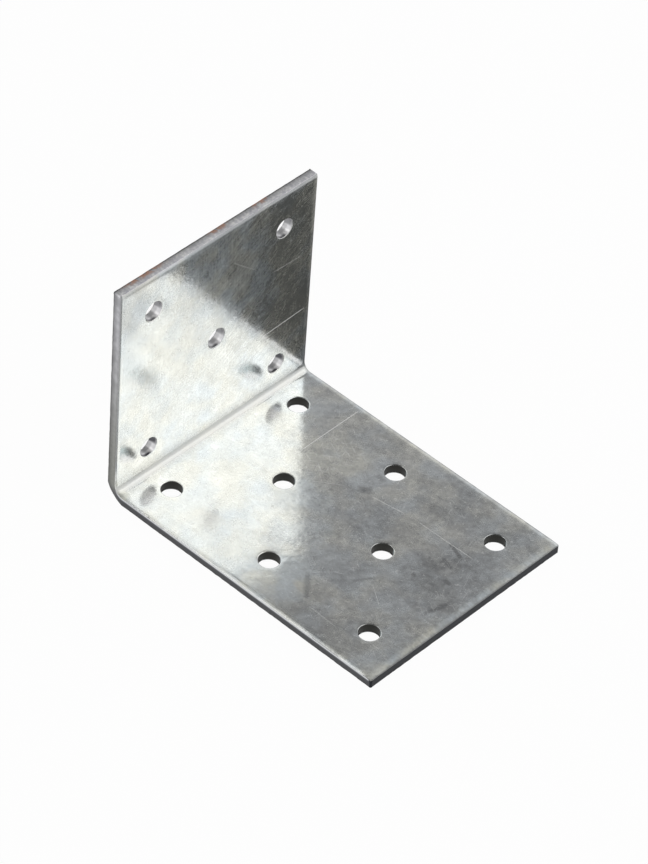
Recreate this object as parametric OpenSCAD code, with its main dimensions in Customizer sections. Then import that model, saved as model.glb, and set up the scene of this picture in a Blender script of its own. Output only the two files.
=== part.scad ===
// Corner brace bracket: one strip of zinc-coated steel sheet, punched with two staggered sets
// of nail holes and folded once to a right angle.
// The bracket lies on its long leg. X runs along that leg, Y along the fold, and Z is up.
// The origin is on the underside, halfway along the long leg and halfway across the strip.

/* [Sheet] */
// Thickness of the sheet
sheet_t = 2.5; // [1.5:0.1:4]
// Width of the strip, measured along the fold
strip_w = 60; // [50:1:120]

/* [Legs] */
// Length of the lying leg, from the back of the standing leg to its end
long_leg = 80; // [60:1:120]
// Height of the standing leg, from the underside to its top
short_leg = 60; // [45:1:100]
// Inside radius of the fold
fold_r = 2; // [1:0.1:4]
// Radius of the strip's four corners, seen face on
corner_r = 0.5; // [0.2:0.1:3]

/* [Nail holes] */
// Diameter of each nail hole
hole_d = 5; // [3:0.1:8]
// Rows of holes in the lying leg
long_rows = 5; // [2:1:7]
// Rows of holes in the standing leg
short_rows = 3; // [2:1:5]
// Distance from the back of the fold to the middle of the first row
heel_margin = 10; // [9:0.5:14]
// Distance from the middle of the last row to the end of its leg
end_margin = 10; // [7:0.5:14]
// Distance from the middle of the outer holes to the side of the strip
side_margin = 10; // [7:0.5:16]

/* [Punched edges] */
// How far the rolled edge reaches in from the sides and the top of the strip
side_roll_w = 1.2; // [0.5:0.1:2]
// How far the face drops at the sides and the top of the strip
side_roll_drop = 0.3; // [0.1:0.05:0.4]
// How far the rolled edge reaches in from the end of the lying leg
end_roll_w = 2.4; // [0.5:0.1:4]
// How far the face drops at the end of the lying leg
end_roll_drop = 0.2; // [0.1:0.05:0.45]
// How far the rolled rim reaches out from a hole
hole_roll_w = 0.2; // [0.2:0.1:1]
// How far the face drops at a hole's wall
hole_roll_drop = 0.1; // [0.05:0.05:0.2]

/* [Hidden] */
// Outside radius of the fold
fold_back_r = fold_r + sheet_t;
// Distance between the two outer holes of a row
hole_gauge = strip_w - 2 * side_margin;
// How far a cutting shape stands clear of the sheet
clear = 1;
$fn = 96;

// Middle of row i of a leg, measured from the back of the fold.
function row_place(leg, rows, i) =
    heel_margin + i * (leg - heel_margin - end_margin) / (rows - 1);

// Radius of the arc that is level with the face and has dropped by drop after w.
function roll_radius(w, drop) = (w * w + drop * drop) / (2 * drop);

// Punching pulls the face down along every cut edge, in an arc that leaves the face level.
// This is the sliver that the arc takes off: x runs into the sheet from the cut wall, y up
// from the underside.
module roll_sliver(w, drop) {
    difference() {
        translate([-clear, sheet_t - drop]) square([w + clear, drop + clear]);
        translate([w, sheet_t - roll_radius(w, drop)]) circle(r = roll_radius(w, drop));
    }
}

// Cross-section of the strip: x across its width, y through its thickness, face upwards.
module strip_section() {
    difference() {
        translate([-strip_w / 2, 0]) square([strip_w, sheet_t]);
        for (side = [0, 1])
            mirror([side, 0]) translate([-strip_w / 2, 0]) roll_sliver(side_roll_w, side_roll_drop);
    }
}

// What rounds off one corner of the strip, with the corner at the origin.
module corner_sliver() {
    difference() {
        translate([-corner_r, -corner_r]) square(corner_r + clear);
        translate([-corner_r, -corner_r]) circle(r = corner_r);
    }
}

// One punched hole, with the rolled rim on the face that the punch entered.
module nail_hole() {
    translate([0, 0, -clear]) cylinder(d = hole_d, h = sheet_t + 2 * clear);
    rotate_extrude() translate([hole_d / 2, 0]) roll_sliver(hole_roll_w, hole_roll_drop);
}

// The staggered holes of a leg: two outer holes in one row, a middle hole in the next.
module nail_holes(leg, rows) {
    for (i = [0 : rows - 1])
        for (y = i % 2 == 0 ? [-hole_gauge / 2, hole_gauge / 2] : [0])
            translate([row_place(leg, rows, i), y, 0]) nail_hole();
}

// One flat leg, lying down, from the fold to its end.
module flat_leg(leg, rows, roll_w, roll_drop) {
    difference() {
        translate([fold_back_r, 0, 0]) rotate([90, 0, 90])
            linear_extrude(leg - fold_back_r) strip_section();
        translate([leg, strip_w / 2 + clear, 0]) rotate([90, 0, 0])
            linear_extrude(strip_w + 2 * clear) mirror([1, 0]) roll_sliver(roll_w, roll_drop);
        for (side = [0, 1])
            mirror([0, side, 0]) translate([leg, strip_w / 2, -clear])
                linear_extrude(sheet_t + 2 * clear) corner_sliver();
        nail_holes(leg, rows);
    }
}

// The quarter turn of the same section that joins the two legs.
module fold() {
    translate([fold_back_r, 0, fold_back_r]) rotate([90, 0, 0]) rotate([0, 0, 180])
        rotate_extrude(angle = 90) translate([fold_back_r, 0]) rotate(90) strip_section();
}

// The standing leg is a lying leg turned over the fold: mirroring swaps X and Z.
module bracket() {
    color([0.70, 0.72, 0.73])
        translate([-long_leg / 2, 0, 0]) {
            flat_leg(long_leg, long_rows, end_roll_w, end_roll_drop);
            fold();
            mirror([1, 0, -1]) flat_leg(short_leg, short_rows, side_roll_w, side_roll_drop);
        }
}

bracket();
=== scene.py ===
# %% [markdown]
# # A corner brace folded from zinc-coated sheet
#
# The real thing is one strip of steel sheet. It is punched with two staggered sets of nail
# holes, cut off, and folded once to a right angle. The measured model gives its size and the
# place of everything. This lesson gives it the surface that such a piece has: edges that the
# cut has rolled over, dented rims round the holes, ragged walls, mottled zinc and bare steel.
#
# We could have kept the measured mesh and only given it a new material. Its flat faces are a
# few very large triangles, though, so nothing on it can be dented or worn. A finer mesh of
# our own, at exactly the same size, can take all of that.

# %% Load the measured part
import math

import bmesh
import bpy
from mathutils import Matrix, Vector


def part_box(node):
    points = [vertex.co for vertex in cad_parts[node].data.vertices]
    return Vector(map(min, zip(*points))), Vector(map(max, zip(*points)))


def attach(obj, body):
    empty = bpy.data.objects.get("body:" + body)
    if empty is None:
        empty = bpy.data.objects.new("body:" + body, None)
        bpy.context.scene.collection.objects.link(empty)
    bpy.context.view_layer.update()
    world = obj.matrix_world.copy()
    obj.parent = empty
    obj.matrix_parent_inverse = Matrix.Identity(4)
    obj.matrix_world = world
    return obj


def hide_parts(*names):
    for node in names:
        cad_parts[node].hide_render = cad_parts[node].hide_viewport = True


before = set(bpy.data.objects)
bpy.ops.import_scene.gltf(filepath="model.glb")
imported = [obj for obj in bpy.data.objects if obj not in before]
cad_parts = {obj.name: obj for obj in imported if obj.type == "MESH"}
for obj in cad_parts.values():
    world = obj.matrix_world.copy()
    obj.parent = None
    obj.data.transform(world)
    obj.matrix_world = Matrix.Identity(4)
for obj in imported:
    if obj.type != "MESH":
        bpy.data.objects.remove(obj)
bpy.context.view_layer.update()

# %% [markdown]
# ## Aiming
#
# A camera and a lamp are aimed in the same way: they look along their own minus Z. Tracking
# constraints would do it too, but a turn that is worked out once is simpler and stays put.


# %% Aiming
MM = 0.001


def direction(azimuth, elevation):
    """Unit vector away from the part. Azimuth 0 is straight in front, towards -Y."""
    level = math.cos(elevation)
    return Vector((math.sin(azimuth) * level, -math.cos(azimuth) * level, math.sin(elevation)))


def aimed(name, data, place, target, roll=0.0):
    """Adds a camera or a lamp at a place, turned to look at the target."""
    thing = bpy.data.objects.new(name, data)
    bpy.context.scene.collection.objects.link(thing)
    thing.matrix_world = (target - place).to_track_quat("-Z", "Y").to_matrix().to_4x4()
    thing.matrix_world.translation = place
    thing.rotation_euler.rotate_axis("Z", roll)
    return thing


print("straight in front is", list(direction(0, 0)))

# %% [markdown]
# ## The camera
#
# A long lens far away flattens perspective, which is how such catalogue pictures are taken.
# The camera is placed by the point it looks at and by three angles, as a photographer would
# describe it. Its roll is small, but without it every edge would lean the wrong way.

# %% Camera
LOOK_AT = Vector((-11.14, 7.77, 15.0)) * MM
VIEW_DISTANCE = 1009.9 * MM
VIEW_AZIMUTH = math.radians(40.92)
VIEW_ELEVATION = math.radians(43.28)
VIEW_ROLL = math.radians(4.316)
LENS = 191.85
SENSOR_WIDTH = 36.0

camera_data = bpy.data.cameras.new("camera")
camera_data.lens = LENS
camera_data.sensor_width = SENSOR_WIDTH
camera_place = LOOK_AT + direction(VIEW_AZIMUTH, VIEW_ELEVATION) * VIEW_DISTANCE
bpy.context.scene.camera = aimed("camera", camera_data, camera_place, LOOK_AT, VIEW_ROLL)
print("camera at", [round(value, 3) for value in camera_place])

# %% [markdown]
# ## Sizes
#
# The outer sizes come from the measured part. The rest are the few sizes that such a bracket
# is drawn with. We model in millimetres, because many mesh tools have a smallest step that
# would be felt at this scale in metres, and bring the finished piece to metres at the end.

# %% Sizes of the bracket in millimetres
low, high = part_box("bracket")
LYING_LENGTH = (high.x - low.x) / MM
STANDING_HEIGHT = (high.z - low.z) / MM
STRIP_WIDTH = (high.y - low.y) / MM
SHEET = 2.5
FOLD_INSIDE = 2.0
FOLD_OUTSIDE = FOLD_INSIDE + SHEET
HOLE_RADIUS = 2.5
HOLE_MARGIN = 10.0
HOLE_GAUGE = STRIP_WIDTH / 2 - HOLE_MARGIN
LYING_ROWS = 5
STANDING_ROWS = 3
CORNER_RADIUS = 0.5
print(f"strip {STRIP_WIDTH:.1f} wide, legs {LYING_LENGTH:.1f} and {STANDING_HEIGHT:.1f}")

# %% [markdown]
# ## What cutting does to an edge
#
# A shear or a punch first pulls the face down with it, then cuts cleanly, and tears through
# the rest. So each cut edge has a roll, given here as how far it reaches in and how far it
# drops, then a clean wall, and a ragged wall that in a hole is also a little wider. A bevel
# would be even. This roll starts level with the face and is steepest at the cut.

# %% Cut edges in millimetres
SIDE_ROLL = (1.2, 0.3)
END_ROLL = (2.4, 0.2)
RIM_ROLL = (0.2, 0.1)
ROLL_STEPS = 6
END_ROLL_STEPS = 8
CLEAN_CUT = 0.9
WALL_ROWS = (CLEAN_CUT, 1.3, 1.7, 2.1, SHEET)
HOLE_TAPER = 0.16


def roll_steps(width, drop, count):
    """The steps of a rolled edge, each as (outward, down): level at first, steepest at the cut."""
    radius = (width ** 2 + drop ** 2) / (2 * drop)
    fall = [radius - math.sqrt(radius ** 2 - (width * step / count) ** 2) for step in range(count + 1)]
    return [(width / count, fall[step + 1] - fall[step]) for step in range(count)]


def torn_share(depth):
    """How far down the torn part of a wall a depth is: 0 where the tear starts, 1 at its foot."""
    return min(1.0, max(0.0, (depth - CLEAN_CUT) / (SHEET - CLEAN_CUT)))


side_steps = roll_steps(*SIDE_ROLL, ROLL_STEPS)
print("each step of a rolled side goes down by", [round(down, 3) for outward, down in side_steps])

# %% [markdown]
# ## Picking things by their place
#
# A modeller clicks on the edges to work on. A script has no mouse, so it names them by where
# they are. Almost every step below is a pick followed by one tool.

# %% Helpers for picking
NEAR = 0.001


def pick(piece, kind, wanted):
    """In edit mode: selects exactly the EDGE or FACE elements that wanted() accepts."""
    bpy.ops.mesh.select_mode(type=kind)
    bpy.ops.mesh.select_all(action="DESELECT")
    mesh = bmesh.from_edit_mesh(piece.data)
    for part in {"EDGE": mesh.edges, "FACE": mesh.faces}[kind]:
        if wanted(part):
            part.select_set(True)
    bmesh.update_edit_mesh(piece.data)


def open_edge(edge, wanted):
    """Whether an edge lies on the border of the surface, with both its ends where we want them."""
    return edge.is_boundary and all(wanted(vert.co) for vert in edge.verts)


print("places closer than", NEAR, "mm count as the same")

# %% [markdown]
# ## One tile of the strip
#
# Punched sheet is hard to model as one big face with holes, because smooth shading then runs
# off along long thin triangles. So the strip is laid from tiles, one for each place where a
# hole may be. A plain tile is a subdivided square. A punched tile starts as an empty frame
# with a circle in it. Bridging the two fills the gap with rings, and extruding the circle
# inwards and down, a little more steeply each time, gives the rim that the punch pulled in.
#
# Cutting the holes with a boolean would be quicker, but it leaves slivers round the rim.

# %% Tiles
TILE_CELLS = 24
TILE_RINGS = 9


def rectangle(x0, x1, y0, y1, height=0.0):
    """Adds a flat rectangle that faces up."""
    bpy.ops.object.select_all(action="DESELECT")
    bpy.ops.mesh.primitive_plane_add(size=1, location=((x0 + x1) / 2, (y0 + y1) / 2, height))
    piece = bpy.context.object
    piece.scale = (x1 - x0, y1 - y0, 1)
    bpy.ops.object.transform_apply(location=True, rotation=True, scale=True)
    return piece


def plain_tile(corners):
    """A tile without a hole."""
    tile = rectangle(*corners)
    bpy.ops.object.mode_set(mode="EDIT")
    bpy.ops.mesh.subdivide(number_cuts=TILE_CELLS - 1)
    bpy.ops.object.mode_set(mode="OBJECT")
    return tile


def punched_tile(corners, centre):
    """A tile with a hole in it, whose rim is rolled."""
    tile = rectangle(*corners)
    bpy.ops.object.mode_set(mode="EDIT")
    bpy.ops.mesh.delete(type="ONLY_FACE")
    bpy.ops.mesh.select_all(action="SELECT")
    bpy.ops.mesh.subdivide(number_cuts=TILE_CELLS - 1)
    width, drop = RIM_ROLL
    reach = HOLE_RADIUS + width
    bpy.ops.mesh.primitive_circle_add(vertices=4 * TILE_CELLS, radius=reach, location=centre)
    bpy.ops.mesh.select_all(action="SELECT")
    bpy.ops.mesh.bridge_edge_loops(number_cuts=TILE_RINGS, interpolation="LINEAR")
    pick(tile, "EDGE", lambda edge: open_edge(
        edge, lambda co: (co - Vector(centre)).length < reach + NEAR))
    for inward, down in roll_steps(width, drop, ROLL_STEPS):
        bpy.ops.mesh.extrude_edges_move(TRANSFORM_OT_translate={"value": (0, 0, -down)})
        shrink = (reach - inward) / reach
        bpy.ops.transform.resize(value=(shrink, shrink, 1), center_override=centre)
        reach -= inward
    bpy.ops.object.mode_set(mode="OBJECT")
    return tile


print("a punched tile has", 4 * TILE_CELLS, "spokes")

# %% [markdown]
# ## Where the holes are
#
# The holes of a leg are staggered: two outer ones in one row, one in the middle of the next.
# A full grid would weaken the strip along every row. Both legs follow the same rule.


# %% Hole places
def row_places(length, rows):
    """Where the rows of holes are, from the back of the fold."""
    pitch = (length - 2 * HOLE_MARGIN) / (rows - 1)
    return [HOLE_MARGIN + row * pitch for row in range(rows)]


def hole_places(length, rows):
    """The middles of a leg's holes: two outer ones in a row, then one in the middle."""
    return [(x, y) for row, x in enumerate(row_places(length, rows))
            for y in ((-HOLE_GAUGE, HOLE_GAUGE) if row % 2 == 0 else (0,))]


print("lying leg:", hole_places(LYING_LENGTH, LYING_ROWS))

# %% [markdown]
# ## Laying the tiles
#
# The tiles of a leg are made one by one and joined, and their shared borders are merged. An
# array modifier would repeat one tile, but here every other tile has a hole.


# %% Laying the tiles
def joined(pieces, name):
    """Joins objects into the first one and merges the vertices that meet. Stays in edit mode."""
    bpy.ops.object.select_all(action="DESELECT")
    for piece in pieces:
        piece.select_set(True)
    bpy.context.view_layer.objects.active = pieces[0]
    bpy.ops.object.join()
    pieces[0].name = name
    bpy.ops.object.mode_set(mode="EDIT")
    bpy.ops.mesh.select_all(action="SELECT")
    bpy.ops.mesh.remove_doubles(threshold=NEAR)
    return pieces[0]


def laid_tiles(length, rows, end_width):
    """Tiles from the fold to the rolled end, with a hole in every other one."""
    rows_at = row_places(length, rows)
    half_pitch = (rows_at[1] - rows_at[0]) / 2
    along = [FOLD_OUTSIDE] + [place + half_pitch for place in rows_at[:-1]] + [length - end_width]
    side = STRIP_WIDTH / 2 - SIDE_ROLL[0]
    across = [-side, -HOLE_GAUGE / 2, HOLE_GAUGE / 2, side]
    tiles = []
    for row, x in enumerate(rows_at):
        for column, y in enumerate((-HOLE_GAUGE, 0, HOLE_GAUGE)):
            corners = (along[row], along[row + 1], across[column], across[column + 1])
            if (row + column) % 2 == 0:
                tiles.append(punched_tile(corners, (x, y, 0)))
            else:
                tiles.append(plain_tile(corners))
    return tiles


print("tiles in the lying leg:", 3 * LYING_ROWS)

# %% [markdown]
# ## Edges and thickness
#
# The sides and the end of a leg are drawn outwards in small steps that fall away, like the
# edge that a shear leaves. Extruding the whole skin downwards then gives the sheet its
# thickness. A Solidify modifier would give it in one go. We go down in several steps, so that
# the cut wall has rows of its own, and flatten each step, because only the face is rolled.


# %% Edges and thickness
def roll_edges(leg, length, end_roll):
    """Draws the two sides and the end of a leg's face out and down."""
    side = STRIP_WIDTH / 2 - SIDE_ROLL[0]
    for way in (-1, 1):
        pick(leg, "EDGE", lambda edge: open_edge(edge, lambda co: co.y * way > side - NEAR))
        for outward, down in roll_steps(*SIDE_ROLL, ROLL_STEPS):
            bpy.ops.mesh.extrude_edges_move(TRANSFORM_OT_translate={"value": (0, way * outward, -down)})
    end = length - end_roll[0]
    pick(leg, "EDGE", lambda edge: open_edge(edge, lambda co: co.x > end - NEAR))
    for outward, down in roll_steps(*end_roll, END_ROLL_STEPS):
        bpy.ops.mesh.extrude_edges_move(TRANSFORM_OT_translate={"value": (outward, 0, -down)})


def thicken():
    """Extrudes the face down to the underside, in one step for each row of the cut wall."""
    bpy.ops.mesh.select_mode(type="FACE")
    bpy.ops.mesh.select_all(action="SELECT")
    reached = 0.0
    for depth in WALL_ROWS:
        bpy.ops.mesh.extrude_region_move(TRANSFORM_OT_translate={"value": (0, 0, reached - depth)})
        bpy.ops.transform.resize(value=(1, 1, 0), center_override=(0, 0, -depth))
        reached = depth


print("rows of the cut wall end at", WALL_ROWS)

# %% [markdown]
# ## Corners and torn holes
#
# Two details are easier to place point by point than with a tool. The corners of the strip
# are slightly round, and each hole opens a little where the punch broke through.


# %% Corners and torn holes
def round_corners(leg, length):
    """Draws the square corners of the end in to quarter circles."""
    mesh = bmesh.from_edit_mesh(leg.data)
    inner_x, inner_y = length - CORNER_RADIUS, STRIP_WIDTH / 2 - CORNER_RADIUS
    for vert in mesh.verts:
        dx, dy = vert.co.x - inner_x, abs(vert.co.y) - inner_y
        if dx > 0 and dy > 0:
            draw = max(dx, dy) / math.hypot(dx, dy)
            vert.co.x = inner_x + dx * draw
            vert.co.y = math.copysign(inner_y + dy * draw, vert.co.y)
    bmesh.update_edit_mesh(leg.data)


def widen_exits(leg, holes):
    """Opens each hole's wall towards the underside, where the punch tore through."""
    mesh = bmesh.from_edit_mesh(leg.data)
    for vert in mesh.verts:
        torn = torn_share(SHEET - vert.co.z)
        for x, y in holes:
            if torn > 0 and math.hypot(vert.co.x - x, vert.co.y - y) < HOLE_RADIUS + NEAR:
                wider = 1 + HOLE_TAPER * torn / HOLE_RADIUS
                vert.co.x = x + (vert.co.x - x) * wider
                vert.co.y = y + (vert.co.y - y) * wider
                break
    bmesh.update_edit_mesh(leg.data)


print("holes open to a radius of", HOLE_RADIUS + HOLE_TAPER, "at the underside")

# %% [markdown]
# ## One leg, lying flat
#
# Both legs are laid in the same way, so one function makes either. Near the fold the leg is
# left open, because the fold will grow out of that end.


# %% Lying leg
def flat_leg(name, length, rows, end_roll):
    """A leg with its face up: x runs from the back of the fold, and its underside is at z = 0."""
    leg = joined(laid_tiles(length, rows, end_roll[0]), name)
    roll_edges(leg, length, end_roll)
    thicken()
    pick(leg, "FACE", lambda face: all(vert.co.x < FOLD_OUTSIDE + NEAR for vert in face.verts))
    bpy.ops.mesh.delete(type="FACE")
    bpy.ops.mesh.select_all(action="SELECT")
    bpy.ops.transform.translate(value=(0, 0, SHEET))
    round_corners(leg, length)
    widen_exits(leg, hole_places(length, rows))
    bpy.ops.object.mode_set(mode="OBJECT")
    return leg


bracket = flat_leg("zinc_bracket", LYING_LENGTH, LYING_ROWS, END_ROLL)
print("lying leg:", len(bracket.data.polygons), "faces")

# %% [markdown]
# ## The fold and the standing leg
#
# A fold in thick sheet is a quarter turn of the strip's own section. The leg's open end is
# that section, so we spin it about the centre of the fold, and the rolled sides go round with
# it. The standing leg is a second flat leg, stood up so that its face looks into the corner.

# %% Fold and standing leg
FOLD_STEPS = 14
bpy.ops.object.select_all(action="DESELECT")
bpy.context.view_layer.objects.active = bracket
bpy.ops.object.mode_set(mode="EDIT")
pick(bracket, "EDGE", lambda edge: open_edge(edge, lambda co: co.x < FOLD_OUTSIDE + NEAR))
fold_centre = (FOLD_OUTSIDE, 0, FOLD_OUTSIDE)
bpy.ops.mesh.spin(steps=FOLD_STEPS, angle=math.pi / 2, center=fold_centre, axis=(0, -1, 0))
bpy.ops.object.mode_set(mode="OBJECT")

standing = flat_leg("standing_leg", STANDING_HEIGHT, STANDING_ROWS, SIDE_ROLL)
standing.rotation_euler = (0, -math.pi / 2, math.pi)
bpy.ops.object.transform_apply(location=True, rotation=True, scale=True)
bracket = joined([bracket, standing], "zinc_bracket")
bpy.ops.mesh.normals_make_consistent(inside=False)
bpy.ops.object.mode_set(mode="OBJECT")
print("folded strip:", len(bracket.data.polygons), "faces")

# %% [markdown]
# ## A map of the sheet
#
# Wear and dirt follow the sheet and not the room: a scratch runs on round the fold, and an
# edge is worn wherever the edge goes. So each vertex is told where it lies on the unfolded
# strip. `along` counts from the fold, down the lying leg as plus and up the standing leg as
# minus. `across` goes from side to side, and `depth` is how far below the inner face it lies.
# A fourth number is the distance to the nearest cut edge or hole.
#
# A UV map would hold only two of them. Attributes on the mesh hold all four, and the ragged
# walls, the dents and every material below can read them.


# %% Place on the unfolded strip
def sheet_place(point):
    """(along, across, depth) of a point of the folded strip, all in millimetres."""
    if point.x >= FOLD_OUTSIDE:
        return Vector((point.x - SHEET, point.y, SHEET - point.z))
    if point.z >= FOLD_OUTSIDE:
        return Vector((SHEET - point.z, point.y, SHEET - point.x))
    back, down = FOLD_OUTSIDE - point.x, FOLD_OUTSIDE - point.z
    turned = math.atan2(back, down) / (math.pi / 2)
    return Vector((FOLD_INSIDE * (1 - 2 * turned), point.y, math.hypot(back, down) - FOLD_INSIDE))


HOLES = [(x - SHEET, y) for x, y in hole_places(LYING_LENGTH, LYING_ROWS)]
HOLES += [(SHEET - x, y) for x, y in hole_places(STANDING_HEIGHT, STANDING_ROWS)]


def edge_distance(place):
    """How far a place on the strip is from the nearest cut side, cut end or hole."""
    end = min(LYING_LENGTH - SHEET - place.x, STANDING_HEIGHT - SHEET + place.x)
    hole = min(math.hypot(place.x - along, place.y - across) for along, across in HOLES) - HOLE_RADIUS
    return max(0.0, min(STRIP_WIDTH / 2 - abs(place.y), end, hole))


skin = bracket.data
places = [sheet_place(vertex.co) for vertex in skin.vertices]
edge_distances = [edge_distance(place) for place in places]
sheet_map = skin.attributes.new("sheet", "FLOAT_VECTOR", "POINT")
sheet_map.data.foreach_set("vector", [value for place in places for value in place])
edge_map = skin.attributes.new("edge", "FLOAT", "POINT")
edge_map.data.foreach_set("value", edge_distances)
print("holes:", len(HOLES), " strip from", round(min(place.x for place in places), 1),
      "to", round(max(place.x for place in places), 1))

# %% [markdown]
# ## A pinched fold
#
# Where thick sheet is folded, the outer skin is stretched and draws in from the sides. Those
# vertices are simply moved in, most in the middle of the fold and at the outer skin. A
# lattice could do it as well, but the map already says how far round the fold each point is.

# %% Pinch the fold
PINCH = 0.35
PINCH_REACH = 4.0


def pinch(vertex, place):
    """Draws the side of the fold in, by more towards the outer skin."""
    if abs(place.x) < FOLD_INSIDE:
        bend = math.sin(math.pi * (place.x + FOLD_INSIDE) / (2 * FOLD_INSIDE))
        near_side = max(0.0, 1 - (STRIP_WIDTH / 2 - abs(place.y)) / PINCH_REACH)
        vertex.co.y -= math.copysign(PINCH * bend * near_side * place.z / SHEET, place.y)


for vertex, place in zip(skin.vertices, places):
    pinch(vertex, place)
print("sides of the fold drawn in by up to", PINCH, "mm")

# %% [markdown]
# ## Ragged walls
#
# Shears cut the upper part of the sheet cleanly and tear the rest, so a cut wall is smooth
# near the face and ragged further down. Sculpting would do, but a Displace modifier with a
# cloud texture treats every wall alike. A vertex group holds how much each vertex takes part,
# and a middle level of 1 lets the modifier only press inwards, so that the piece never
# outgrows its measured size. A very narrow Bevel then takes the sharpness off all corners.

# %% Wear of the walls
RAGGED = 0.15
RAGGED_SIZE = 1.3
RAGGED_LEAST = 0.15
SOFTENED = 0.05
SHARP_CORNER = math.radians(55)

walls = bracket.vertex_groups.new(name="walls")
for vertex, place, distance in zip(skin.vertices, places, edge_distances):
    if distance < NEAR and place.z > SIDE_ROLL[1]:
        share = RAGGED_LEAST + (1 - RAGGED_LEAST) * torn_share(place.z)
        walls.add([vertex.index], share, "REPLACE")

torn_steel = bpy.data.textures.new("torn_steel", "CLOUDS")
torn_steel.noise_scale = RAGGED_SIZE
ragged = bracket.modifiers.new("ragged", "DISPLACE")
ragged.texture = torn_steel
ragged.vertex_group = "walls"
ragged.direction = "NORMAL"
ragged.mid_level = 1.0
ragged.strength = RAGGED

softened = bracket.modifiers.new("softened", "BEVEL")
softened.limit_method = "ANGLE"
softened.angle_limit = SHARP_CORNER
softened.width = SOFTENED
softened.segments = 1

bpy.ops.object.select_all(action="DESELECT")
bracket.select_set(True)
bpy.context.view_layer.objects.active = bracket
for modifier in ("ragged", "softened"):
    bpy.ops.object.modifier_apply(modifier=modifier)
bracket.vertex_groups.clear()
print("after wear:", len(bracket.data.polygons), "faces,",
      sum(len(polygon.vertices) - 2 for polygon in bracket.data.polygons), "triangles")

# %% [markdown]
# ## Into the frame
#
# The piece is brought to metres and to the place of the measured part, and both are applied,
# so that its own coordinates are the frame's. A parent could carry the scale instead, but a
# finished piece should hold its size and place in its own mesh.

# %% Place the bracket
SMOOTH_UNDER = math.radians(30)
bracket.scale = (MM, MM, MM)
bracket.location = (low.x, (low.y + high.y) / 2, low.z)
bpy.ops.object.transform_apply(location=True, rotation=True, scale=True)
bpy.ops.object.shade_smooth_by_angle(angle=SMOOTH_UNDER)
opposite_corners = list(bracket.bound_box)[::6]
print("bracket box:", [tuple(round(value, 5) for value in corner) for corner in opposite_corners])

# %% [markdown]
# ## Materials as expressions
#
# A node tree is easier to read as sums. `Number` wraps one socket, and arithmetic on it adds
# the Math nodes. Wiring the same nodes by hand would hide what they work out.


# %% Numbers that vary over a surface
class Number:
    """A number that varies over the surface. Arithmetic on it adds Math nodes."""

    def __init__(self, nodes, socket):
        self.nodes = nodes
        self.socket = socket

    def _math(self, operation, *values):
        return self.nodes.number("ShaderNodeMath", {"operation": operation}, dict(enumerate(values)))

    def __add__(self, other):
        return self._math("ADD", self, other)

    def __radd__(self, other):
        return self._math("ADD", other, self)

    def __sub__(self, other):
        return self._math("SUBTRACT", self, other)

    def __rsub__(self, other):
        return self._math("SUBTRACT", other, self)

    def __mul__(self, other):
        return self._math("MULTIPLY", self, other)

    def __rmul__(self, other):
        return self._math("MULTIPLY", other, self)

    def __truediv__(self, other):
        return self._math("DIVIDE", self, other)

    def __rtruediv__(self, other):
        return self._math("DIVIDE", other, self)

    def __pow__(self, other):
        return self._math("POWER", self, other)

    def __rpow__(self, other):
        return self._math("POWER", other, self)

    def size(self):
        return self._math("ABSOLUTE", self)

    def fraction(self):
        return self._math("FRACT", self)

    def least(self, other):
        return self._math("MINIMUM", self, other)

    def most(self, other):
        return self._math("MAXIMUM", self, other)

    def from_nearest(self, first, pitch):
        """How far this is past the nearest of the places first, first + pitch and so on."""
        return (((self - first) / pitch + 0.5).fraction() - 0.5) * pitch

    def rise(self, start, end):
        """0 before start, 1 after end, and a soft step between. It falls where end is lower."""
        return self.nodes.number(
            "ShaderNodeMapRange", {"interpolation_type": "SMOOTHSTEP"},
            {"Value": self, "From Min": min(start, end), "From Max": max(start, end),
             "To Min": float(start > end), "To Max": float(start < end)})


print("besides sums, a number knows", [name for name in vars(Number) if not name.startswith("_")])

# %% [markdown]
# ## Any other node
#
# Every node comes from one method: what kind it is, its settings, and what goes into its
# sockets. Colours are blended by Mix and vectors are worked out by Vector Math, because a
# Math node would turn either into a single grey number.


# %% Node trees
class Nodes:
    """A node tree, emptied, and the ways to add nodes to it."""

    def __init__(self, tree):
        self.tree = tree
        self.tree.nodes.clear()

    def node(self, kind, settings=None, sockets=None):
        """Adds a node: its settings first, then the values or links of its sockets."""
        node = self.tree.nodes.new(kind)
        for key, value in (settings or {}).items():
            setattr(node, key, value)
        for key, value in (sockets or {}).items():
            if isinstance(value, Number):
                value = value.socket
            if isinstance(value, bpy.types.NodeSocket):
                self.tree.links.new(value, node.inputs[key])
            else:
                node.inputs[key].default_value = value
        return node

    def number(self, kind, settings=None, sockets=None, output=0):
        """One output of a node, as a number to reckon with."""
        return Number(self, self.node(kind, settings, sockets).outputs[output])

    def vector(self, operation, *values, **named):
        """The result of Vector Math on vectors, and on a Scale where one is named."""
        sockets = dict(enumerate(values)) | named
        return self.node("ShaderNodeVectorMath", {"operation": operation}, sockets).outputs[0]

    def blend(self, factor, first, second):
        """A colour that goes from the first to the second as the factor goes from 0 to 1."""
        sockets = {0: factor, 6: first, 7: second}
        return self.node("ShaderNodeMix", {"data_type": "RGBA"}, sockets).outputs[2]


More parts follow.
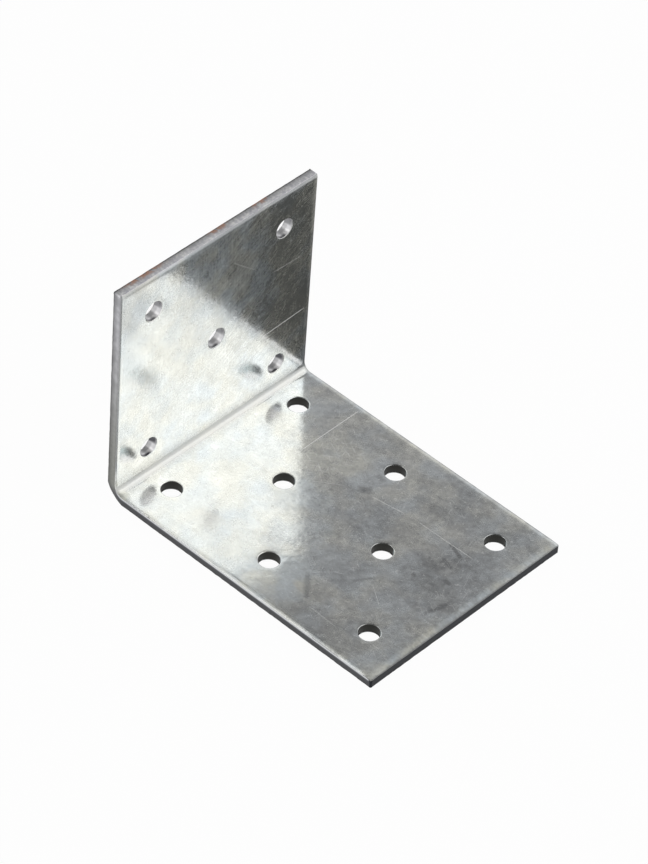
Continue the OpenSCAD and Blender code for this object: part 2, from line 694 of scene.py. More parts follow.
class Finish(Nodes):
    """The node tree of a new material."""

    def __init__(self, name):
        self.material = bpy.data.materials.new(name)
        self.material.use_nodes = True
        super().__init__(self.material.node_tree)

    def matte(self, color):
        """A surface that scatters light evenly."""
        return self.node("ShaderNodeBsdfDiffuse", sockets={0: color}).outputs[0]

    def metal(self, color, roughness, metallic=1.0, normal=None):
        """A metal surface."""
        sockets = {"Base Color": color, "Roughness": roughness, "Metallic": metallic}
        if normal:
            sockets["Normal"] = normal
        return self.node("ShaderNodeBsdfPrincipled", sockets=sockets).outputs[0]

    def mixed(self, factor, first, second):
        """One surface seen through another."""
        return self.node("ShaderNodeMixShader", sockets={0: factor, 1: first, 2: second}).outputs[0]

    def finished(self, surface):
        """The material, with this surface on its output."""
        self.node("ShaderNodeOutputMaterial", sockets={0: surface})
        return self.material


print("node trees can be built")

# %% [markdown]
# ## Finishes that follow the sheet
#
# Both finishes of the bracket read the map of the sheet, so both start from the same helper.
# It gives them the distances from the strip's sides and ends, soft noise, patches and single
# strokes. All lengths are in millimetres, so `from_top.rise(1.5, 0.9)` fades in from 1.5 to
# 0.9 mm below the top. A painted image could hold the same marks, but it would be soft close
# up and tied to one unwrapping.
#
# Each cloud of a finish is shifted by its own amount, so that no two show the same pattern.


# %% Finishes that follow the sheet
class SheetFinish(Finish):
    """A finish that follows the unfolded strip."""

    def __init__(self, name):
        super().__init__(name)
        self.place = self.node("ShaderNodeAttribute", {"attribute_name": "sheet"}).outputs["Vector"]
        split = self.node("ShaderNodeSeparateXYZ", sockets={0: self.place})
        self.along, self.across, self.depth = (Number(self, split.outputs[axis]) for axis in range(3))
        self.from_left = STRIP_WIDTH / 2 + self.across
        self.from_right = STRIP_WIDTH / 2 - self.across
        self.from_front = LYING_LENGTH - SHEET - self.along
        self.from_top = self.along + (STANDING_HEIGHT - SHEET)

    def from_row(self, out, length, rows):
        """How far past the middle of its row of holes a place is, if it is so far out on its leg."""
        first, second = row_places(length, rows)[:2]
        return out.from_nearest(first, second - first)

    def drawn(self, along, across, turn=0.0):
        """The map of the sheet, turned and then drawn out by so many times along and across."""
        turned = self.node("ShaderNodeVectorRotate", {"rotation_type": "Z_AXIS"},
                           {"Vector": self.place, "Angle": turn}).outputs[0]
        return self.vector("MULTIPLY", turned, (1 / along, 1 / across, 1))

    def cloud(self, size, detail=3.0, place=None, shift=0.0):
        """Soft noise between 0 and 1 whose patches are about size millimetres wide."""
        moved = self.vector("ADD", place or self.place, (shift, shift, shift))
        return self.number("ShaderNodeTexNoise", {"noise_dimensions": "3D"},
                           {"Vector": moved, "Scale": 1 / size, "Detail": detail})

    def spot(self, along, across, long, wide):
        """1 in the middle of a soft oval patch, 0 outside it."""
        away = ((self.along - along) / long) ** 2.0 + ((self.across - across) / wide) ** 2.0
        return away.rise(1.0, 0.0)

    def stroke(self, start, end, width, fade):
        """1 on a straight scratch between two places (along, across), 0 beside it."""
        run, over = end[0] - start[0], end[1] - start[1]
        length = math.hypot(run, over)
        forward, sideways = run / length, over / length
        ahead = (self.along - start[0]) * forward + (self.across - start[1]) * sideways
        aside = ((self.along - start[0]) * sideways - (self.across - start[1]) * forward).size()
        return aside.rise(width, 0.0) * ahead.rise(0.0, fade) * ahead.rise(length, length - fade)


print("rows of holes repeat every", row_places(LYING_LENGTH, LYING_ROWS)[1] - HOLE_MARGIN, "mm")

# %% [markdown]
# ## Zinc
#
# Rolled zinc is a soft mirror under a bloom of grey oxide. A single metal can't show both: at
# low roughness it looks chromed, and at high roughness the sharp border of a reflection is
# lost. So two metals are mixed. One is smooth and mirrors the room, the other is dull and
# gathers light from all round. How much of the dull one shows changes from place to place,
# and that one number gives most of the real look: blotches, fine grain and specks come out
# light where the mirror is dark, and dark where the mirror is bright. Over both lie fresh
# scratches, which scatter light and are pale everywhere.
#
# The bracket has been handled most on its outer skin and on the lying leg, more and more
# towards the right corner of its end. The zinc keeps one number for that, and lets most marks
# follow it.


# %% Start the zinc
class ZincFinish(SheetFinish):
    """The sheet's finish, with the places that the zinc's marks follow."""

    def __init__(self, name):
        super().__init__(name)
        self.edge = self.number("ShaderNodeAttribute", {"attribute_name": "edge"}, output="Fac")
        self.on_face = self.depth.rise(1.2, 0.8)
        self.on_outer_skin = self.depth.rise(1.2, 2.2)
        towards_corner = (self.along + self.across).rise(8.0, 38.0) * 0.75 + 0.25
        self.handled = towards_corner.most(self.on_outer_skin)


zinc = ZincFinish("zinc")
print("zinc starts with", len(zinc.tree.nodes), "nodes")

# %% [markdown]
# ## Patches
#
# Some blotches sit where one looks first, so they are placed one by one, as a painter would
# touch them in. Each is a soft oval that adds to up to three qualities of the zinc. More
# noise would give blotches too, but never in these places.

# %% Patches of the zinc
BLOOM, WARMTH, TARNISH = 4, 5, 6
# Along, across, how long, how wide, then how much more bloom, warmth and tarnish.
PATCHES = [
    (-51.0, 1.0, 19.0, 17.0, 0.20, -0.4, 0.0),
    (-36.0, 8.0, 11.0, 11.0, 0.20, -0.4, 0.0),
    (-51.0, -27.0, 9.0, 7.0, 0.10, -0.4, 0.35),
    (-23.0, 25.0, 9.0, 6.0, -0.10, 0.6, 0.0),
    (-29.0, -21.0, 4.0, 4.0, 0.30, -0.5, -0.1),
    (-35.0, -26.0, 9.0, 7.0, -0.18, 0.4, -0.1),
    (-42.0, 24.0, 18.0, 9.0, 0.00, 0.3, 0.0),
    (-12.0, 24.0, 6.0, 6.0, 0.08, 0.2, 0.0),
    (1.8, -29.5, 2.6, 1.8, 0.80, 0.0, -0.1),
    (24.0, 14.0, 11.0, 10.0, 0.15, 0.4, 0.05),
    (24.0, 26.0, 20.0, 5.0, 0.00, 0.0, 0.16),
    (41.0, 4.0, 12.0, 10.0, 0.00, -0.2, 0.30),
    (57.0, -27.0, 16.0, 6.0, 0.00, -0.2, 0.26),
    (71.0, 23.0, 8.0, 7.0, 0.00, 0.0, 0.16),
    (29.0, -1.0, 8.0, 8.0, 0.20, -0.4, 0.0),
    (42.0, -22.0, 11.0, 12.0, 0.30, -0.3, -0.1),
    (49.0, -11.0, 9.0, 8.0, -0.10, -0.6, 0.10),
    (52.0, 9.0, 9.0, 6.0, -0.02, 0.6, 0.08),
    (54.0, 22.0, 12.0, 9.0, 0.00, 0.1, 0.26),
    (68.0, 4.0, 13.0, 15.0, -0.05, -0.4, 0.40),
    (75.0, -27.0, 6.0, 7.0, 0.12, -0.2, -0.10),
]


def patched(zinc, quality):
    """What all the patches add to one quality."""
    return sum(zinc.spot(*patch[:4]) * patch[quality] for patch in PATCHES if patch[quality])


print("patches:", len(PATCHES))

# %% [markdown]
# ## How much oxide shows
#
# The bloom is noise at three sizes, streaks along the strip, slanted wiping near the top, the
# rims of dried drops and small pits. Along its edges the strip is rubbed dull. One large
# noise would be simpler, but then the eye finds its single scale at once.


# %% Bloom
def dull_edges(zinc):
    """How much more of the dull metal shows along the strip's sides and ends."""
    right = zinc.from_right.rise(1.6, 0.9) * (0.30 + zinc.along.rise(-2.0, 3.0) * 0.25)
    top = zinc.from_top.rise(2.0, 0.6) * (zinc.across.rise(0.0, -20.0) * 0.30 + 0.30)
    front = zinc.from_front.rise(2.4, 1.0) * 0.50
    on_left_roll = zinc.from_left.rise(1.5, 0.9) * zinc.from_left.rise(0.2, 0.5)
    left = on_left_roll * zinc.along.rise(20.0, 45.0) * 0.45
    return right.most(top).most(front).most(left)


def zinc_bloom(zinc):
    """How much of the dull metal shows at each place, from 0 to 1."""
    broad = (zinc.cloud(13.0, 4.0) - 0.5) * 0.35
    blotch = (zinc.cloud(3.2, 4.0, shift=21.0) - 0.5) * 0.45
    grain = (zinc.cloud(0.6, 2.0, shift=43.0) - 0.5) * 0.45
    streaks = (zinc.cloud(1.0, 2.0, place=zinc.drawn(9.0, 0.45), shift=5.0) - 0.5) * 0.25
    calm = 1 - zinc.along.rise(0.0, 4.0) * (1 - zinc.handled) * 0.5
    wiped = (zinc.cloud(1.0, 2.0, place=zinc.drawn(5.0, 0.6, 1.0), shift=47.0) - 0.5) * 0.7
    wiped = wiped * zinc.along.rise(-3.0, -20.0) * zinc.across.rise(-10.0, 10.0)
    pits = zinc.cloud(1.0, 1.0, shift=71.0).rise(0.68, 0.78) * 0.3
    dried = zinc.cloud(9.0, 2.0, shift=61.0)
    drops = (dried - 0.5).size().rise(0.02, 0.0) * 0.08 + dried.rise(0.49, 0.51) * 0.04
    bloom = (broad + blotch + grain + streaks) * calm + 0.19
    bloom = bloom + wiped + pits + drops + patched(zinc, BLOOM)
    return (bloom + dull_edges(zinc)).most(0.02).least(0.97)


bloom = zinc_bloom(zinc)
print("zinc nodes with the bloom:", len(zinc.tree.nodes))

# %% [markdown]
# ## Warm and cold grey
#
# Zinc leans to blue in one place and to olive in the next. The difference is slight, but a
# single grey looks like plastic. A coloured light would tint all of it alike.


# %% Warmth
def zinc_warmth(zinc):
    """0 where the grey leans to blue, 1 where it leans to olive."""
    warmth = zinc.cloud(8.0, 3.0, shift=87.0).rise(0.36, 0.64)
    smudge = zinc.spot(50.0, -20.7, 6.0, 1.4)
    untouched = (1 - zinc.handled) * 0.3
    return (warmth + patched(zinc, WARMTH) + smudge + untouched).most(0.0).least(1.0)


warmth = zinc_warmth(zinc)
print("zinc nodes with the warmth:", len(zinc.tree.nodes))

# %% [markdown]
# ## Tarnish
#
# Tarnish darkens both metals. It is mottled where hands have been and gathers in a few short
# smears. Thin dark lines along some edges are added to it. We add it up in one number, so that
# no place is darkened twice over.

# %% Tarnish
# Start and end as (along, across), then how wide and how dark.
DARK_MARKS = [
    ((46.0, -16.8), (51.6, -23.0), 1.4, 0.55),
    ((67.3, 3.5), (70.0, 3.1), 0.8, 0.9),
    ((61.0, -0.2), (63.2, -0.6), 0.8, 0.8),
    ((34.8, 10.2), (38.4, 12.0), 1.8, 0.6),
    ((60.5, 12.6), (66.0, 10.8), 0.6, 0.8),
    ((62.5, 8.2), (67.0, 6.8), 0.6, 0.8),
    ((71.5, -8.0), (73.5, -1.0), 1.0, 0.6),
    ((14.5, 21.0), (17.5, 24.5), 0.4, 0.4),
    ((54.0, -12.0), (57.5, -6.5), 0.7, 0.5),
]
MARK_FADE = 1.2


def dark_edges(zinc):
    """Thin dark lines along the ends and the right side. Just behind the front one it is lighter."""
    lighter_behind_front = zinc.from_front.rise(2.8, 1.2) * (zinc.across.rise(-10.0, 10.0) * 0.4 + 0.15)
    front = zinc.from_front.rise(0.8, 0.0) * 0.7 - lighter_behind_front
    top = zinc.from_top.rise(1.4, 0.2) * (zinc.across.rise(-18.0, 5.0) * 0.5 + 0.25)
    right = zinc.from_right.rise(0.7, 0.0) * zinc.along.rise(-3.0, 2.0) * 0.6
    return front + top + right


def zinc_tarnish(zinc):
    """How far both metals have darkened. The lying leg darkens towards its end."""
    general = zinc.along.rise(8.0, 60.0) * 0.12 + zinc.on_outer_skin * 0.12 + 0.06
    mottled = (zinc.cloud(5.0, 5.0, shift=17.0) - 0.5) * 1.2
    mottled = mottled + (zinc.cloud(1.3, 2.0, shift=37.0) - 0.5) * 1.1
    marks = sum(zinc.stroke(start, end, width, MARK_FADE) * strength
                for start, end, width, strength in DARK_MARKS)
    tarnish = general + mottled * zinc.handled + marks + patched(zinc, TARNISH)
    return (tarnish + dark_edges(zinc)).most(0.0).least(1.0)


tarnish = zinc_tarnish(zinc)
print("zinc nodes with the tarnish:", len(zinc.tree.nodes))

# %% [markdown]
# ## Fresh scratches
#
# Nine long scratches are listed one by one. The many small ones are noise that has been drawn
# out in three directions and cut off high, so that only short dashes are left. Single strokes
# for all of them would need hundreds of nodes.

# %% Scratches
# Start and end as (along, across), then how wide and how strong.
LONG_SCRATCHES = [
    ((-18.6, 14.5), (-19.3, 28.6), 0.16, 1.0),
    ((18.3, 9.5), (18.2, 28.9), 0.17, 1.2),
    ((-36.4, 16.5), (-36.0, 26.5), 0.14, 0.4),
    ((39.0, 10.6), (48.5, 12.1), 0.13, 0.6),
    ((51.5, 12.3), (68.0, 12.6), 0.13, 0.6),
    ((53.0, -23.8), (62.0, -24.1), 0.12, 0.4),
    ((26.0, 4.0), (33.0, 9.0), 0.12, 0.4),
    ((58.0, -9.0), (64.0, -13.0), 0.12, 0.4),
    ((-47.0, 4.0), (-40.0, 12.0), 0.12, 0.3),
]
SCRATCH_FADE = 1.5
# Turn of each set of dashes in radians, and the shift of its noise.
DASHES = [(0.5, 13.0), (1.25, 29.0), (2.6, 83.0)]


def zinc_scratches(zinc):
    """Where the zinc is freshly scratched: long strokes, short dashes and specks."""
    rubbed = zinc.cloud(7.0, 1.0, shift=9.0).rise(0.40, 0.60) + zinc.spot(25.0, 13.0, 9.0, 9.0) * 1.5
    dashes = 0.0
    for turn, shift in DASHES:
        run = zinc.cloud(1.0, 0.0, place=zinc.drawn(3.2, 0.5, turn), shift=shift)
        dashes = run.rise(0.66, 0.80).most(dashes)
    specks = zinc.cloud(0.9, 1.0, shift=91.0).rise(0.66, 0.74)
    small = (dashes * rubbed * 0.7 + specks) * zinc.handled * 0.2
    long = sum(zinc.stroke(start, end, width, SCRATCH_FADE) * strength
               for start, end, width, strength in LONG_SCRATCHES)
    return (small + long * zinc.on_face).least(0.95)


scratches = zinc_scratches(zinc)
print("zinc nodes with the scratches:", len(zinc.tree.nodes))

# %% [markdown]
# ## The pressed fold, its painted shade, and the darker edges
#
# The press that folds the strip leaves it rougher inside the fold, and the crease there is
# painted an even, darker grey: painted shade. The zinc is also darker along the top, the standing
# leg's left side and the rims of some holes. Both are masks on the map, like everything else here.


# %% Fold shade and darker edges
def pressed_fold_shade(zinc):
    """Where the crease is painted darker, a painted shade: 1 in the bend of the fold, and half as much
    just above it.
    """
    bend = zinc.along.rise(-2.7, -1.2) * zinc.along.rise(1.7, 0.6)
    above = zinc.along.rise(-4.4, -2.9) * zinc.along.rise(1.0, -0.5) * 0.5
    return zinc.depth.rise(1.2, 0.6) * bend.most(above)


def darker_edge_mask(zinc):
    """Where the zinc is darker along the top, the left side and some hole rims, from 0 to 1."""
    knocked = zinc.from_top.rise(0.2, 1.0) * 0.25 + 0.25
    top = zinc.from_top.rise(1.5, 0.9) * knocked * zinc.across.rise(-22.0, -2.0)
    left = zinc.from_left.rise(0.5, 0.3) * zinc.along.rise(-4.0, -8.0) * 0.8
    out = zinc.from_row(zinc.along + SHEET, LYING_LENGTH, LYING_ROWS)
    lying_rim = zinc.handled.rise(0.3, 0.8) * out.rise(1.2, -0.2) * zinc.along.rise(5.0, 6.0) * 0.6
    standing_rim = zinc.along.rise(-6.0, -7.0) * zinc.across.rise(-10.0, 10.0) * 0.5
    rim = zinc.edge.rise(0.3, 0.1) * (lying_rim + standing_rim) * zinc.from_top.rise(1.5, 3.0)
    return top.most(left).most(rim * zinc.on_face)


# The pressed fold: rougher, and painted shade in the crease.
fold = pressed_fold_shade(zinc)
darker_edges = darker_edge_mask(zinc)
print("zinc nodes with the fold and the scuffs:", len(zinc.tree.nodes))

# %% [markdown]
# ## Dents, and a fold that has sprung
#
# Cold sheet is never quite flat, so a Bump node dents the zinc, by a tenth of a millimetre at
# the most.
#
# A folded strip springs back a little when the press lets go, so the real corner isn't quite
# square. That is too little to see in the outline, but the reflection of one leg in the other
# moves by twice as much. The shape keeps its measured right angle, and only the normals of
# the lying leg's face are leaned over, after they have been dented.

# %% Dents and lean of the face
SPRUNG = (-0.013, -0.010, 0.0)
DENT_STRENGTH = 0.5
DENT_DEPTH = 0.1 * MM


def sprung(zinc, normal):
    """The normal, leaned over on the lying leg's face by as much as the fold has sprung."""
    lean = zinc.vector("SCALE", SPRUNG, Scale=zinc.along.rise(0.0, 3.0) * zinc.on_face)
    return zinc.vector("NORMALIZE", zinc.vector("ADD", normal, lean))


dents = zinc.cloud(1.4, 3.0, shift=3.0) * 0.4 + zinc.cloud(6.0, 1.0, shift=33.0) * 0.9
bump = zinc.node("ShaderNodeBump", sockets={
    "Strength": DENT_STRENGTH, "Distance": DENT_DEPTH, "Height": dents})
zinc_normal = sprung(zinc, bump.outputs[0])
print("lean of the face:", round(math.degrees(math.hypot(*SPRUNG)), 2), "degrees")

# %% [markdown]
# ## The zinc, put together
#
# Each metal gets its colour in the same order: blue or olive, then tarnish, then the darker
# edges. The pressed fold comes last, and only on the mirror: it makes the mirror rougher, and its
# painted shade makes it greyer. Three Principled surfaces and two Mix Shaders are enough.

# %% Zinc
BRIGHT_COLD, BRIGHT_WARM = (0.895, 0.93, 0.95, 1), (0.945, 0.95, 0.925, 1)
DULL_COLD, DULL_WARM = (0.765, 0.82, 0.86, 1), (0.87, 0.865, 0.79, 1)
BRIGHT_TARNISHED, DULL_TARNISHED = (0.44, 0.45, 0.46, 1), (0.40, 0.41, 0.42, 1)
DARKER_EDGE_COLOR = (0.26, 0.265, 0.27, 1)
# Painted shade in the crease of the fold.
PRESSED_FOLD_SHADE = (0.66, 0.665, 0.65, 1)
SCRATCHED = (0.95, 0.95, 0.95, 1)
MIRROR_ROUGHNESS = 0.15
PRESSED_ROUGHER = 0.14
DULL_ROUGHNESS = 0.5


def zinc_color(cold, warm, tarnished):
    """The colour of one of the two metals."""
    color = zinc.blend(warmth, cold, warm)
    color = zinc.blend(tarnish, color, tarnished)
    return zinc.blend(darker_edges, color, DARKER_EDGE_COLOR)


# The darker grey of the pressed fold is painted shade in the crease.
bright = zinc.blend(fold, zinc_color(BRIGHT_COLD, BRIGHT_WARM, BRIGHT_TARNISHED), PRESSED_FOLD_SHADE)
dull = zinc_color(DULL_COLD, DULL_WARM, DULL_TARNISHED)
mirror = zinc.metal(bright, fold * PRESSED_ROUGHER + MIRROR_ROUGHNESS, normal=zinc_normal)
oxide = zinc.metal(dull, DULL_ROUGHNESS, normal=zinc_normal)
bare = zinc.metal(SCRATCHED, DULL_ROUGHNESS, metallic=0.0)
zinc_material = zinc.finished(zinc.mixed(scratches, zinc.mixed(bloom, mirror, oxide), bare))
print("zinc nodes:", len(zinc.tree.nodes))

# %% [markdown]
# ## Bare cut walls
#
# The walls are bare steel, and one material does them all, because the map of the sheet says
# where each wall lies. To start with we name those places: the sheared top, and the walls
# inside the strip, which are those of the holes. The wall at the lying leg's end counts as
# inside too, and gets its own colour later.
#
# The walls of the standing leg's holes are the shiniest, since there the punch has slid past the
# steel, and they carry painted shade on the right and near the face. The lying leg's hole walls
# are painted black, a painted shade, apart from the side that looks back at the fold, which
# carries painted light.


# %% Places on the cut walls
class CutFinish(SheetFinish):
    """The sheet's finish, with the places of the cut walls."""

    def __init__(self, name):
        super().__init__(name)
        self.grain = self.cloud(0.7, 3.0)
        self.top = self.from_top.rise(0.5, 0.3)
        self.inside = self.from_left.least(self.from_right).rise(0.6, 1.0) * (1 - self.top)
        self.shiny = self.inside * self.along.rise(-1.0, -3.0)


def standing_hole_shade_mask(cut):
    """Painted shade on the walls of the standing leg's holes: right, low near the face, and deep."""
    aside = cut.across.from_nearest(0.0, HOLE_GAUGE)
    right = aside.rise(2.2, 2.5) * (cut.depth.rise(0.3, 0.8) * 0.5 + 0.5)
    up = cut.from_row(SHEET - cut.along, STANDING_HEIGHT, STANDING_ROWS)
    low = up.rise(-2.2, -2.5) * cut.depth.rise(1.0, 0.5)
    return right.most(low).most(cut.depth.rise(1.0, 1.6) * 0.4)


cut = CutFinish("cut_steel")
# Painted shade on the walls of the standing leg's holes.
standing_hole_shade = cut.shiny * standing_hole_shade_mask(cut)
# Painted light on the side of each lying hole that looks back at the fold.
lying_hole_painted_light = cut.inside * cut.from_row(cut.along + SHEET, LYING_LENGTH, LYING_ROWS).rise(0.9, 2.1)
print("cut steel nodes for its places:", len(cut.tree.nodes))

# %% [markdown]
# ## Colours of the walls
#
# The sheared top is the lightest. Down the sides of the standing leg the steel is painted darker
# towards the floor, a painted shade, and round the lying leg, next to the floor, it is painted
# nearly black, also painted shade. Each place is a pair of colours with noise between them,
# laid over the one before.

# %% Colours of the walls
TOP_STEEL = (0.62, 0.62, 0.67, 1), (1.0, 1.0, 1.0, 1)
UPPER_SIDES = (0.42, 0.42, 0.44, 1), (0.64, 0.64, 0.67, 1)
# Painted shade: the lower sides darken towards the floor, and the lying leg's sides are near black.
LOWER_SIDES_SHADE = (0.22, 0.225, 0.205, 1), (0.40, 0.405, 0.375, 1)
LYING_SIDES_SHADE = (0.055, 0.057, 0.063, 1), (0.11, 0.112, 0.12, 1)
# Painted shade for the standing leg's hole walls, darker in the holes nearest the fold.
STANDING_HOLE_SHADE = (0.27, 0.27, 0.28, 1), (0.09, 0.09, 0.10, 1)
# Painted shade for the lying leg's hole walls, and painted light for their side towards the fold.
LYING_HOLE_SHADE = (0.035, 0.035, 0.032, 1)
LYING_HOLE_PAINTED_LIGHT = (0.64, 0.76, 0.78, 1)
SHINY_HOLE = (0.80, 0.795, 0.81, 1)


def wall_color(cut):
    """The colour of each wall before it is torn or rusted, with painted shade low down and in the
    holes, and painted light on one side of the lying leg's holes.
    """
    coarse = cut.cloud(2.4, 5.0, shift=11.0).rise(0.3, 0.7)
    flecks = cut.cloud(0.7, 1.0, shift=19.0).rise(0.35, 0.75)
    upper = cut.blend(coarse, *UPPER_SIDES)
    lower = cut.blend(cut.grain, *LOWER_SIDES_SHADE)
    # Painted shade: the lying leg's walls are near black.
    lying = cut.blend(cut.inside, cut.blend(cut.grain, *LYING_SIDES_SHADE), LYING_HOLE_SHADE)
    # Painted shade: the standing leg's sides darken towards the fold and the floor.
    color = cut.blend(cut.along.rise(-50.0, -5.0), upper, lower)
    # Painted shade and painted light on the walls of the lying leg and its holes.
    color = cut.blend(cut.along.rise(-3.0, 1.0), color, cut.blend(lying_hole_painted_light, lying, LYING_HOLE_PAINTED_LIGHT))
    color = cut.blend(cut.shiny, color, SHINY_HOLE)
    # Painted shade on the standing leg's hole walls.
    color = cut.blend(standing_hole_shade, color, cut.blend(cut.along.rise(-20.0, -12.0), *STANDING_HOLE_SHADE))
    return cut.blend(cut.top, color, cut.blend(coarse * 0.5 + flecks * 0.6, *TOP_STEEL))


steel_color = wall_color(cut)
print("cut steel nodes with its colours:", len(cut.tree.nodes))

# %% [markdown]
# ## Torn, dragged and rusted steel
#
# The foot of each outer wall is torn and dark. The blade has dragged zinc down over its upper
# part, which shows as a dull line on the standing leg and as a light line on the lying leg, there
# partly that zinc and partly a painted highlight on the wall's painted shade. The lying leg's end
# wall is painted near black: painted shade. The outer corner of the top carries a few spots of
# rust. Rust is no metal, so it also takes away the shine: it gets rougher and less metallic where
# its colour shows.

# %% Cut steel
RUST_SPOTS = [(-21.5, 8.0), (0.8, 4.0), (13.5, 3.5)]
# The front steel is painted shade; the light dragged colour is partly a painted highlight.
FRONT_STEEL_SHADE = (0.018, 0.020, 0.024, 1), (0.028, 0.030, 0.035, 1)
TORN = (0.07, 0.07, 0.07, 1)
DRAGGED_DULL = (0.15, 0.15, 0.15, 1)
DRAGGED_ZINC_HIGHLIGHT = (0.72, 0.73, 0.75, 1)
RUST = (0.42, 0.22, 0.15, 1)
RUST_SHOWN = 0.85
CUT_ROUGHNESS = 0.5
SHINY_SMOOTHER = 0.20
RUST_ROUGHER = 0.3
RUST_LESS_METALLIC = 0.9


def rust_spots(cut):
    """Where the top's outer corner has rusted."""
    near_spot = 0.0
    for across, reach in RUST_SPOTS:
        near_spot = (cut.across - across).size().rise(reach, reach * 0.3).most(near_spot)
    broken = cut.cloud(1.3, 3.0, shift=3.0).rise(0.36, 0.56)
    return broken * near_spot * cut.depth.rise(0.9, 1.9) * cut.top


def worn_color(cut, color, rust):
    """A wall's colour with its tears, its dragged zinc with a painted highlight, the painted shade of
    the lying leg's end, and its rust.
    """
    foot = cut.depth.rise(2.0, 2.4) * (cut.top * 0.15 + 0.3)
    torn = (cut.depth.rise(0.6, 2.4) * 0.5 + foot) * (1 - cut.inside)
    color = cut.blend(torn, color, TORN)
    # Painted shade: the lying leg's end wall, next to the floor, is near black.
    color = cut.blend(cut.from_front.rise(0.6, 0.4), color, cut.blend(cut.grain, *FRONT_STEEL_SHADE))
    dragged = cut.depth.rise(0.95, 0.35) * (1 - cut.inside) * (1 - cut.top)
    color = cut.blend(dragged * cut.along.rise(-1.0, -3.0) * 0.3, color, DRAGGED_DULL)
    # The light line high on the lying leg's walls is partly dragged zinc and partly a painted
    # highlight.
    lying = cut.along.rise(-1.0, 0.8) * cut.from_front.rise(0.5, 1.0)
    color = cut.blend(dragged * lying, color, DRAGGED_ZINC_HIGHLIGHT)
    return cut.blend(rust * RUST_SHOWN, color, RUST)


rust = rust_spots(cut)
roughness = CUT_ROUGHNESS - cut.shiny * SHINY_SMOOTHER + rust * RUST_ROUGHER
metallic = 1.0 - rust * RUST_LESS_METALLIC
cut_material = cut.finished(cut.metal(worn_color(cut, steel_color, rust), roughness, metallic))
print("cut steel nodes:", len(cut.tree.nodes))

# %% [markdown]
# ## Which face is which
#
# The wall faces are found by their normals: seen from the inner face, they point sideways.
# Everything else is zinc. We could have marked them while modelling, but then every extrude
# and join would have to keep the marks.

# %% Hand out the two materials
SIDEWAYS = 0.6
bracket.data.materials.append(zinc_material)
bracket.data.materials.append(cut_material)


def outward(place):
    """The direction that the inner face looks in at a place on the strip."""
    if abs(place.x) < FOLD_INSIDE:
        turned = (1 - place.x / FOLD_INSIDE) * math.pi / 4
        return Vector((math.sin(turned), 0, math.cos(turned)))
    return Vector((0, 0, 1)) if place.x > 0 else Vector((1, 0, 0))


skin = bracket.data
corner_places = [Vector(item.vector) for item in skin.attributes["sheet"].data]
for polygon in skin.polygons:
    middle = sum((corner_places[index] for index in polygon.vertices), Vector()) / len(polygon.vertices)
    polygon.material_index = int(abs(polygon.normal.dot(outward(middle))) < SIDEWAYS)
print("wall faces:", sum(polygon.material_index for polygon in skin.polygons), "of", len(skin.polygons))

# %% [markdown]
# ## Floor
#
# The floor is a sheet of pale paper. In the camera and in every mirror it is shown almost
# white, as the paper in a catalogue picture is. To all other light it is plain paper, and a
# small share of that paper also shows in the camera, which keeps the shadow of the bracket.
# Pure white all over would be simpler, but it would hide the shadow. From here on lengths are
# in metres, like the frame's.

# %% Paper floor
FLOOR_HALF = 3.0
FLOOR_LEVEL = -0.2 * MM
PAPER_COLOR = (0.85, 0.85, 0.85, 1)
WHITE = (1, 1, 1, 1)
PAPER_SHOWN_WHITE = 0.97


def paper_finish():
    """Pale paper that is shown white."""
    paper = Finish("paper")
    white = paper.node("ShaderNodeEmission", sockets={0: WHITE, 1: 1.0}).outputs[0]
    path = paper.node("ShaderNodeLightPath")
    camera_ray, glossy_ray, clear_ray = (
        Number(paper, path.outputs[f"Is {kind} Ray"]) for kind in ("Camera", "Glossy", "Transmission"))
    seen = camera_ray.most(glossy_ray).most(clear_ray)
    return paper.finished(paper.mixed(seen * PAPER_SHOWN_WHITE, paper.matte(PAPER_COLOR), white))


def stage_sheet(name, corners, height, material):
    """A flat sheet of the stage."""
    sheet = rectangle(*corners, height)
    sheet.name = name
    sheet.data.materials.append(material)
    return sheet


stage_sheet("floor", (-FLOOR_HALF, FLOOR_HALF, -FLOOR_HALF, FLOOR_HALF), FLOOR_LEVEL, paper_finish())
print("floor laid", -FLOOR_LEVEL / MM, "mm below the bracket")

# %% [markdown]
# ## A dark card
#
# Bright metal only looks like metal if something dark is near it. The upper right of the
# standing leg mirrors the floor to the right of the bracket, and on white paper it would
# vanish into the background. A photographer puts a dark card there and keeps it out of the
# picture. Ours lies flat beside the bracket, and only mirrors see it: it casts no shadow and
# the camera looks through it.

# %% Card
CARD_COLOR = (0.095, 0.098, 0.095, 1)
CARD_CORNERS = [value * MM for value in (-90, 80, 33.0, 110)]
CARD_LEVEL = -0.1 * MM
card_finish = Finish("card")
card_material = card_finish.finished(card_finish.matte(CARD_COLOR))
card = stage_sheet("card_beside", CARD_CORNERS, CARD_LEVEL, card_material)
card.visible_camera = False
card.visible_diffuse = False
card.visible_shadow = False
card.visible_transmission = False
print("card laid over", [round(value, 3) for value in CARD_CORNERS])

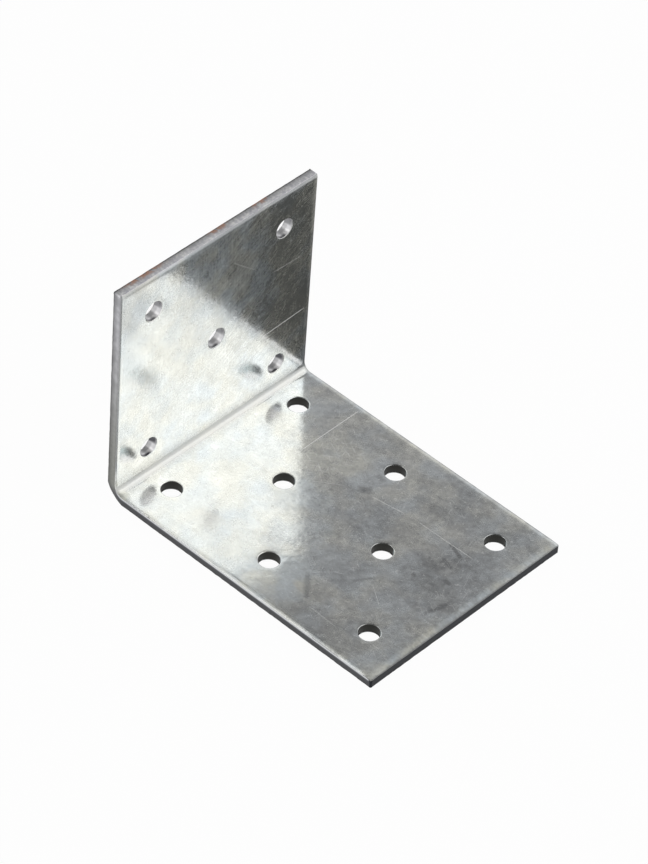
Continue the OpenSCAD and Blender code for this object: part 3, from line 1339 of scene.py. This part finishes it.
# %% [markdown]
# ## Lamps
#
# The inner faces of the bracket look into each other, so near the fold a line of sight is
# mirrored twice and leaves upwards, to the viewer's right. A large soft box hangs there. A
# narrow one overhead draws the thin bright line along the left edge, and a third behind the
# standing leg lights the walls of its holes. Small lamps would do for dull things, but in a
# mirror they show as points.

# %% Lamps
LAMP_DISTANCE = 1.0
LAMP_COLOR = (1.0, 0.995, 0.968)
LAMP_TARGET = Vector((0, 0, 20 * MM))


def soft_box(name, way, width, height, brightness):
    """A soft box in a direction from the part. Brightness is how bright its face looks."""
    data = bpy.data.lights.new(name, "AREA")
    data.shape = "RECTANGLE"
    data.size, data.size_y = width, height
    data.energy = brightness * math.pi * width * height
    data.color = LAMP_COLOR
    return aimed(name, data, Vector(way).normalized() * LAMP_DISTANCE, LAMP_TARGET)


soft_box("key_box", (0.42, 0.43, 0.77), 1.2, 0.85, 1.09)
soft_box("top_strip", (-0.48, -0.08, 0.87), 0.5, 0.18, 1.1)
soft_box("back_box", (-0.48, -0.55, 0.68), 0.4, 0.4, 1.1)

# %% [markdown]
# ## Room
#
# Where the metal mirrors neither a lamp, the paper nor the card, it mirrors the room, which
# is pale low down and dark overhead. A picture of a real room would do the same, with more
# detail than such soft metal can show.

# %% Room
LOW_ROOM, HIGH_ROOM = 0.85, 0.05
PALE_BELOW, DARK_ABOVE = 0.30, 0.92
room = bpy.data.worlds.new("room")
bpy.context.scene.world = room
room.use_nodes = True
room_nodes = Nodes(room.node_tree)
ray = room_nodes.node("ShaderNodeTexCoord").outputs["Generated"]
ray_height = room_nodes.number("ShaderNodeSeparateXYZ", sockets={0: ray}, output=2)
light = ray_height.rise(DARK_ABOVE, PALE_BELOW) * (LOW_ROOM - HIGH_ROOM) + HIGH_ROOM
backdrop = room_nodes.node("ShaderNodeBackground", sockets={0: WHITE, 1: light}).outputs[0]
room_nodes.node("ShaderNodeOutputWorld", sockets={0: backdrop})
bpy.context.scene.view_settings.view_transform = "Standard"
print("room nodes:", len(room_nodes.tree.nodes))

# %% [markdown]
# ## Hand over
#
# The bracket rides on the one body of the part and stands in for the measured solid.

# %% Hand over
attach(bracket, "root")
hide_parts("bracket")
